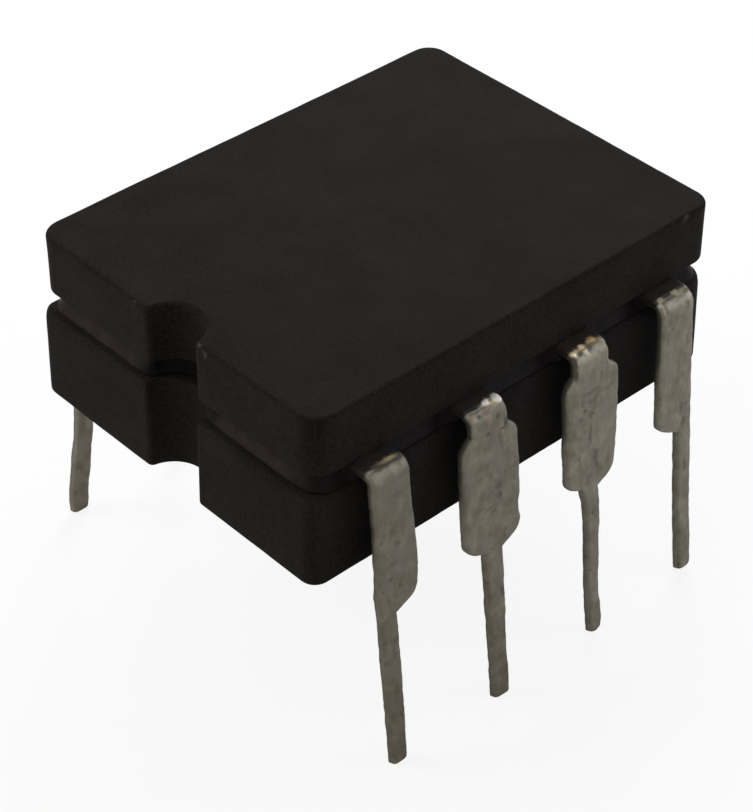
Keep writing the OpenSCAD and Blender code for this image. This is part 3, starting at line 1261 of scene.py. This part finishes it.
        # Painted shade set lead by lead, more towards the -Y end, with duller random patches and
        # a darker leg.
        leg = smooth_step((self.frame.drop + 0.1 - points[:, 2]) / 0.6)
        patchy = 0.14 * lattice_noise(points, 0.6, 20 + self.number)
        patchy += 0.12 * lattice_noise(points, 0.15, 30 + self.number)
        set_values(mesh, "age", np.clip(self.age + 0.10 * leg + patchy, 0, 1))
        share = 1 + 2.0 * np.broadcast_to(bell[:, None], (rows, columns)).ravel()
        share = share * smooth_step(points[:, 2] / 0.1)
        blobs = tuple(
            Dent((self.side * self.face_x(z), self.end * self.row + across, z), radius, -height)
            for across, z, radius, height in self.blobs
        )
        Relief(DIPPED, blobs, self.number).apply(piece, share)


# The studio


def aim(name: str, data: bpy.types.ID, place: Vector, ahead: Vector) -> bpy.types.Object:
    """Put a camera or a lamp at a place, turned to look along a direction.

    Args:
        name: The object's name.
        data: The camera or the lamp.
        place: Where it stands, in metres.
        ahead: The direction it looks in.

    Returns:
        The new object.
    """
    made = bpy.data.objects.new(name, data)
    made.location = place
    made.rotation_mode = "QUATERNION"
    made.rotation_quaternion = ahead.to_track_quat("-Z", "Y")
    bpy.context.scene.collection.objects.link(made)
    return made


@dataclass(frozen=True)
class Lamp:
    """A square soft lamp that looks at the package's middle.

    At a level of 1 it shows a matte surface that faces it as bright as its colour says.
    """

    name: str
    at: tuple[float, float, float]
    size: float
    level: float
    colour: str = "ffffff"

    def build(self, target: Vector) -> None:
        """Place the lamp, turn it to the target and set its power from its level.

        Args:
            target: The point that it looks at, in metres.
        """
        place = Vector(self.at) * MM
        data = bpy.data.lights.new(self.name, "AREA")
        data.size = self.size * MM
        data.energy = self.level * math.pi**2 * (target - place).length_squared
        data.color = linear(self.colour)[:3]
        aim(self.name, data, place, target - place)


@dataclass(frozen=True)
class Studio:
    """Camera, lamps, world and floor, at the photograph's angle."""

    azimuth: float = 47.661
    elevation: float = 38.833
    distance: float = 48.312
    target: tuple[float, float, float] = (-0.032, 0.0, 3.302)
    lens: float = 111.9
    ambient: float = 0.46
    floor_half: float = 900.0
    floor_z: float = -0.01
    lamps: tuple[Lamp, ...] = (
        Lamp("lamp_left", (-36.0, -42.0, 40.0), 30.0, 0.43, "fffaf4"),
        Lamp("lamp_far", (-30.0, 38.0, 40.0), 30.0, 0.58, "f8faff"),
        Lamp("lamp_right", (50.0, 48.0, 26.0), 30.0, 0.23, "f2f5ff"),
    )

    def camera(self) -> None:
        """Place the camera on the line from the target at the stated angles."""
        a, e = math.radians(self.azimuth), math.radians(self.elevation)
        back = Vector((math.sin(a) * math.cos(e), -math.cos(a) * math.cos(e), math.sin(e)))
        data = bpy.data.cameras.new("camera")
        data.sensor_width = 36.0
        data.lens = self.lens
        data.clip_start, data.clip_end = 1 * MM, 5.0
        place = (Vector(self.target) + back * self.distance) * MM
        bpy.context.scene.camera = aim("camera", data, place, -back)

    def world(self) -> None:
        """White where it is seen or mirrored, and a plain grey light elsewhere."""
        made = bpy.data.worlds.new("white_room")
        made.use_nodes = True
        tree = made.node_tree
        background = tree.nodes["Background"]
        path = add_node(tree, "LightPath")
        seen = path.outputs["Is Camera Ray"]
        for kind in ("Is Glossy Ray", "Is Transmission Ray"):
            seen = add_node(
                tree, "Math", {"operation": "MAXIMUM"}, {0: seen, 1: path.outputs[kind]}
            ).outputs[0]
        level = add_node(
            tree, "MapRange", {"To Min": self.ambient, "To Max": 1.0}, {"Value": seen}
        )
        background.inputs["Color"].default_value = (1, 1, 1, 1)
        tree.links.new(level.outputs[0], background.inputs["Strength"])
        bpy.context.scene.world = made

    def floor(self) -> None:
        """A broad white floor that shows as white and keeps the package's shadow."""
        line = np.linspace(-self.floor_half, self.floor_half, 9)
        x, y = np.meshgrid(line, line)
        grid = np.stack([x, y, np.full_like(x, self.floor_z)], axis=-1)
        shell = Shell()
        shell.add(grid, closed=False)
        made = shell.build("floor")
        finish = bpy.data.materials.new("white_paper")
        finish.use_nodes = True
        tree = finish.node_tree
        output = tree.nodes["Material Output"]
        shader = tree.nodes["Principled BSDF"]
        shader.inputs["Base Color"].default_value = linear("f4f4f2")
        shader.inputs["Roughness"].default_value = 0.9
        path = add_node(tree, "LightPath")
        glow = add_node(tree, "Emission", {"Strength": 1.0})
        share = add_node(
            tree, "Math", {"operation": "MULTIPLY", 1: 0.86}, {0: path.outputs["Is Camera Ray"]}
        )
        mixed = add_node(
            tree, "MixShader", {}, {0: share.outputs[0], 1: shader.outputs[0], 2: glow.outputs[0]}
        )
        tree.links.new(mixed.outputs[0], output.inputs["Surface"])
        made.data.materials.append(finish)

    def build(self) -> None:
        """Set the whole studio up."""
        self.camera()
        self.world()
        self.floor()
        for lamp in self.lamps:
            lamp.build(Vector(self.target) * MM)
        bpy.context.scene.view_settings.view_transform = "Standard"


# The whole package


def rounded(radius: float, z: float, up: bool) -> list[tuple[float, float]]:
    """Quarter-round edge as pairs of distance out and height.

    Args:
        radius: The edge's radius.
        z: Height of the face that it meets.
        up: Whether that face is the upper one.

    Returns:
        The pairs, from the bottom up.
    """
    turn = np.radians(np.linspace(0, 90, 7) if up else np.linspace(90, 0, 7))
    sign = 1 if up else -1
    out = radius * (np.cos(turn) - 1)
    height = z - sign * radius + sign * radius * np.sin(turn)
    return list(zip(out.tolist(), height.tolist()))


def level_rows(low: tuple[float, float], high: tuple[float, float],
               count: int) -> list[tuple[float, float]]:
    """Evenly spaced pairs between two pairs, without either of them."""
    share = np.linspace(0, 1, count + 2)[1:-1]
    return [
        (low[0] + s * (high[0] - low[0]), low[1] + s * (high[1] - low[1])) for s in share
    ]


def ceramic_halves() -> tuple[CeramicHalf, CeramicHalf]:
    """Sizes of the base and the lid.

    Returns:
        The base and the lid.
    """
    base_edge = (
        rounded(0.06, 4.22, False)
        + level_rows((0.0, 4.28), (-0.035, 5.88), 9)
        + [(-0.036, 5.88), (-0.045, 5.95), (-0.060, 6.02), (-0.080, 6.06), (-0.105, 6.08)]
    )
    lid_edge = (
        rounded(0.05, 6.50, False)
        + level_rows((0.0, 6.55), (0.0, 7.65), 7)
        + rounded(0.08, 7.73, True)
    )
    chips = (
        Dent((-0.95, -4.83, 7.70), 0.035, 0.015),
        Dent((0.80, -4.80, 7.71), 0.035, 0.015),
        Dent((0.98, -4.83, 7.66), 0.025, 0.01),
        Dent((3.75, 4.10, 7.68), 0.04, 0.015),
    )
    base = CeramicHalf(
        "pressed_base", "ceramic_base", "base_ceramic",
        Plan(7.64, 9.89, 0.32, 0.66, notch_out=0.05, far_corner=0.50, notch_at=0.05),
        4.22, 6.08, tuple(base_edge), Hollow.TOP, 2.60, 4.00, 0.45,
        Relief(PRESSED, seed=3),
        shift=(0.0, -0.015),
    )
    lid = CeramicHalf(
        "pressed_lid", "ceramic_lid", "lid_ceramic",
        Plan(7.57, 9.72, 0.46, 0.63, far_corner=0.42, notch_at=0.06),
        6.50, 7.73, tuple(lid_edge), Hollow.UNDERSIDE, 3.60, 5.00, 0.35,
        Relief(PRESSED, chips, seed=4),
        shift=(-0.02, 0.025), chips=chips,
    )
    return base, lid


def marks(*rows: tuple[Tone, float, float, float, float, float]) -> tuple[Mark, ...]:
    """Make marks from rows of their values, in the order of Mark's own."""
    return tuple(Mark(*row) for row in rows)


def leads() -> tuple[Lead, ...]:
    """The eight leads, numbered round the package from the notch.

    Returns:
        The leads in order.
    """
    t = Tone
    # The cream, gold and white marks near a height of 6.45 are painted highlights on the bend's
    # brow.
    first = marks(
        (t.CREAM_HIGHLIGHT, 0.32, 6.456, 0.27, 0.045, 0.5), (t.GOLD_HIGHLIGHT, 0.38, 6.457, 0.12, 0.03, 0.5),
        (t.BROWN, 0.1, 6.456, 0.12, 0.05, 0.5), (t.DARK, 0.16, 6.429, 0.22, 0.035, 0.75),
        (t.DARK, 0.5, 6.429, 0.22, 0.03, 0.7), (t.BROWN, 0.66, 6.451, 0.08, 0.05, 0.7),
        (t.RUST, 0.27, 3.94, 0.04, 0.06, 0.8), (t.BROWN, 0.29, 4.06, 0.03, 0.1, 0.5),
        (t.GREY, 0.27, 4.86, 0.07, 0.08, 0.6), (t.GREY, 0.1, 4.46, 0.16, 0.03, 0.4),
        (t.GREY, 0.04, 2.49, 0.05, 0.12, 0.6), (t.BROWN, -0.12, 1.16, 0.04, 0.08, 0.6),
    )
    second = marks(
        (t.CREAM_HIGHLIGHT, 0.2, 6.447, 0.26, 0.07, 0.6), (t.WHITE_HIGHLIGHT, 0.33, 6.447, 0.105, 0.09, 1),
        (t.WHITE_HIGHLIGHT, 0.07, 6.453, 0.08, 0.06, 1), (t.GREY, 0, 6.29, 0.44, 0.18, 0.35),
        (t.PINK, -0.05, 6.407, 0.25, 0.06, 0.3), (t.PINK, 0, 6.246, 0.07, 0.1, 0.5),
        (t.PINK, -0.36, 6.4, 0.06, 0.06, 0.6), (t.DARK, -0.21, 6.372, 0.05, 0.05, 0.8),
        (t.BROWN, -0.15, 6.43, 0.2, 0.03, 0.6), (t.DARK, -0.07, 5.97, 0.04, 0.04, 0.8),
        (t.DARK, 0.18, 6.231, 0.04, 0.05, 0.8), (t.DARK, 0.36, 6.04, 0.06, 0.09, 0.9),
        (t.DARK, 0.29, 5.93, 0.07, 0.035, 0.8), (t.GREY, 0.4, 5.67, 0.03, 0.03, 0.6),
        (t.GREY, 0.15, 4.78, 0.09, 0.07, 0.8), (t.GREY, 0.14, 4.55, 0.06, 0.07, 0.7),
        (t.GREY, -0.26, 4.44, 0.09, 0.03, 0.45), (t.GREY, -0.13, 4.37, 0.09, 0.03, 0.55),
        (t.GREY, -0.01, 4.29, 0.07, 0.03, 0.55), (t.BROWN, -0.3, 5.83, 0.08, 0.1, 0.35),
        (t.DARK, 0.12, 2.41, 0.05, 0.13, 0.7), (t.GREY, 0.11, 1.43, 0.05, 0.08, 0.6),
        (t.GREY, 0.13, 0.36, 0.04, 0.06, 0.6),
    )
    third = marks(
        (t.BROWN, -0.1, 6.442, 0.36, 0.07, 0.75), (t.GOLD_HIGHLIGHT, -0.12, 6.451, 0.07, 0.06, 1),
        (t.WHITE_HIGHLIGHT, -0.12, 6.453, 0.03, 0.03, 0.9), (t.GOLD_HIGHLIGHT, -0.34, 6.434, 0.12, 0.06, 1),
        (t.WHITE_HIGHLIGHT, -0.35, 6.429, 0.06, 0.035, 0.8), (t.GOLD_HIGHLIGHT, 0.15, 6.455, 0.11, 0.06, 0.9),
        (t.DARK, -0.22, 6.407, 0.06, 0.05, 0.8), (t.DARK, 0.02, 6.416, 0.06, 0.05, 0.7),
        (t.DARK, -0.42, 6.336, 0.06, 0.12, 0.9), (t.DARK, -0.42, 6.08, 0.04, 0.14, 0.8),
        (t.GREY, -0.28, 5.43, 0.045, 0.11, 0.5), (t.GREY, -0.16, 5.56, 0.1, 0.045, 0.5),
        (t.GREY, 0.06, 5.57, 0.13, 0.04, 0.5), (t.GREY, 0.3, 5.46, 0.12, 0.04, 0.5),
        (t.DARK, -0.22, 5.22, 0.05, 0.04, 0.8), (t.DARK, -0.04, 5.09, 0.05, 0.04, 0.8),
        (t.DARK, -0.12, 5.37, 0.04, 0.03, 0.7), (t.GREY, -0.22, 4.77, 0.07, 0.04, 0.5),
        (t.GREY, -0.35, 4.68, 0.08, 0.04, 0.5), (t.DARK, 0.065, 3.9, 0.05, 0.06, 0.6),
        (t.BROWN, -0.32, 5.08, 0.05, 0.05, 0.5), (t.GREY, -0.09, 4.62, 0.045, 0.2, 0.7),
        (t.GREY, 0.05, 4.1, 0.06, 0.16, 0.7),
    )
    fourth = marks(
        (t.CREAM_HIGHLIGHT, 0.16, 6.456, 0.06, 0.05, 0.9), (t.CREAM_HIGHLIGHT, -0.21, 6.451, 0.08, 0.04, 0.9),
        (t.CREAM_HIGHLIGHT, -0.58, 6.451, 0.07, 0.05, 0.9), (t.DARK, -0.4, 6.425, 0.14, 0.04, 0.7),
        (t.DARK, 0.02, 6.416, 0.1, 0.04, 0.6), (t.DARK, -0.6, 6.319, 0.05, 0.1, 0.6),
        (t.GREY, -0.05, 6.195, 0.03, 0.12, 0.7), (t.GREY, -0.18, 3.98, 0.05, 0.16, 0.6),
        (t.GREY, -0.12, 3.64, 0.05, 0.1, 0.6), (t.GREY, -0.14, 4.7, 0.05, 0.07, 0.45),
        (t.BROWN, -0.3, 5.1, 0.07, 0.22, 0.2), (t.GREY, -0.06, 2.58, 0.04, 0.16, 0.7),
    )
    eighth = marks(
        (t.BROWN, -0.02, 1.3, 0.05, 0.6, 0.35), (t.PINK, 0, 0.45, 0.05, 0.3, 0.35),
        (t.DARK, 0.02, 0.1, 0.08, 0.07, 0.5),
    )
    return (
        Lead(1, 1, -1, Form.END, first, pooled_and_highlight=0.06, age=0.3,
             low=((0, 0), (0.4, 0.01), (1.6, 0.02), (3, 0.02), (3.4, 0.01),
                  (3.67, 0.05), (4.33, 0.085), (5, 0.05), (6, 0)),
             high=((0, -0.01), (3.4, 0.01), (3.9, 0.045), (4.3, 0), (6, 0)),
             bow=((0, 0.085), (3.4, 0), (6, 0)),
             along=((0, -0.032), (3.4, 0), (6, 0))),
        Lead(2, 1, -1, Form.INNER, second,
             ((0.33, 6.442, 0.07, 0.03), (0.09, 6.451, 0.06, 0.025), (-0.2, 6.425, 0.06, 0.02)),
             pooled_and_highlight=0.3, ragged=0.009, age=0.15,
             low=((0, 0.01), (1.6, 0.01), (2.6, 0.03), (3.4, 0.03), (3.75, -0.005),
                  (4.05, -0.03), (4.4, 0.02), (5.2, 0.02), (6, 0)),
             high=((0, 0.01), (1.8, 0.02), (2.4, 0.045), (3.2, 0.04), (3.5, 0),
                   (3.8, 0.02), (6, 0)),
             bow=((0, 0.122), (1.7, 0.066), (3.4, 0.01), (4.4, 0), (6, 0)),
             along=((0, -0.02), (3.4, 0), (6, 0))),
        Lead(3, 1, 1, Form.INNER, third,
             ((-0.1, 6.442, 0.06, 0.02), (-0.34, 6.434, 0.06, 0.02), (0.15, 6.451, 0.07, 0.02)),
             pooled_and_highlight=0.5, ragged=0.01, age=0.02,
             low=((0, -0.08), (0.5, -0.065), (1.2, -0.03), (2.4, -0.03), (3, 0),
                  (3.36, 0.08), (3.5, -0.06), (3.66, 0), (6, 0)),
             high=((0, -0.06), (0.12, 0), (0.35, 0.03), (0.6, 0.01), (0.95, -0.05),
                   (1.3, -0.055), (1.7, -0.02), (2.2, -0.035), (2.6, 0.015), (3.2, -0.015),
                   (3.8, -0.1), (4.1, -0.05), (4.7, -0.02), (5.1, -0.01), (5.4, 0.02),
                   (5.9, 0)),
             bow=((0, 0.102), (3.4, 0), (6, 0)),
             along=((0, -0.092), (3.4, 0), (6, 0))),
        Lead(4, 1, 1, Form.END, fourth, pooled_and_highlight=0.3, age=-0.08,
             low=((0, -0.01), (3.38, 0), (3.5, -0.07), (3.75, 0.04), (4.6, 0.045),
                  (5.6, 0)),
             high=((0, -0.02), (0.2, 0), (6, 0)),
             bow=((0, 0.022), (3.4, 0), (6, 0)),
             along=((0, -0.016), (1.7, -0.055), (3.4, -0.06), (6.3, -0.055)),
             dark_cover=(0.22, -0.02)),
        Lead(5, -1, 1, Form.END, pooled_and_highlight=0.5),
        Lead(6, -1, 1, Form.INNER, pooled_and_highlight=0.7, ragged=0.01),
        Lead(7, -1, -1, Form.INNER, pooled_and_highlight=0.5, ragged=0.01),
        Lead(8, -1, -1, Form.END, eighth, pooled_and_highlight=0.4, ragged=0.005, age=0.15,
             low=((0, 0), (0.3, 0.025), (6, 0)),
             high=((0, 0), (0.3, 0.025), (3.2, 0.025), (6, 0)),
             bow=((0, -0.019), (0.4, -0.01), (1.4, -0.08), (2.4, -0.145), (3.2, -0.14),
                  (4.9, 0)),
             along=((0, -0.103), (3.3, 0), (6, 0))),
    )


def dress_sealed_pieces(nodes: dict[str, bpy.types.Object]) -> None:
    """Give the die, its gold and the wires their finishes.

    Args:
        nodes: The frame's objects by name.
    """
    for start, metal in (
        ("silicon_die", SealedMetal("polished_silicon", "4a5058", "5a6270", 0.18, 0.3)),
        ("die_attach", SealedMetal("fused_gold_silicon", "b89a55", "8f7c4a", 0.35, 1.0)),
        ("bond_wire", SealedMetal("drawn_aluminium", "d2d2cf", "b9b9b4", 0.3, 1.0)),
    ):
        finish = metal.build()
        for name, node in nodes.items():
            if name.startswith(start):
                node.data.materials.clear()
                node.data.materials.append(finish)
                LOG.info("%s: %s", name, finish.name)


def main() -> None:
    logging.basicConfig(level=logging.INFO, format="%(name)s %(message)s")
    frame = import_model()
    Studio().build()
    alumina = PressedAlumina("pressed_black_alumina", "141211", "22201e")
    lid_alumina = PressedAlumina("pressed_black_alumina_lid", "14110f", "23201d")
    base, lid = ceramic_halves()
    base.build(alumina.build())
    lid.build(lid_alumina.build())
    rim = Plan(7.10, 9.22, 0.24, 0.89, notch_out=0.22, lip=0.06)
    GlassSeam(rim).build(FiredSolderGlass("fired_solder_glass", "1e1816", "2c2422").build())
    tin = DippedTin("dipped_tin").build()
    for lead in leads():
        lead.build(tin)
    dress_sealed_pieces(frame["nodes"])


if __name__ == "__main__":
    main()
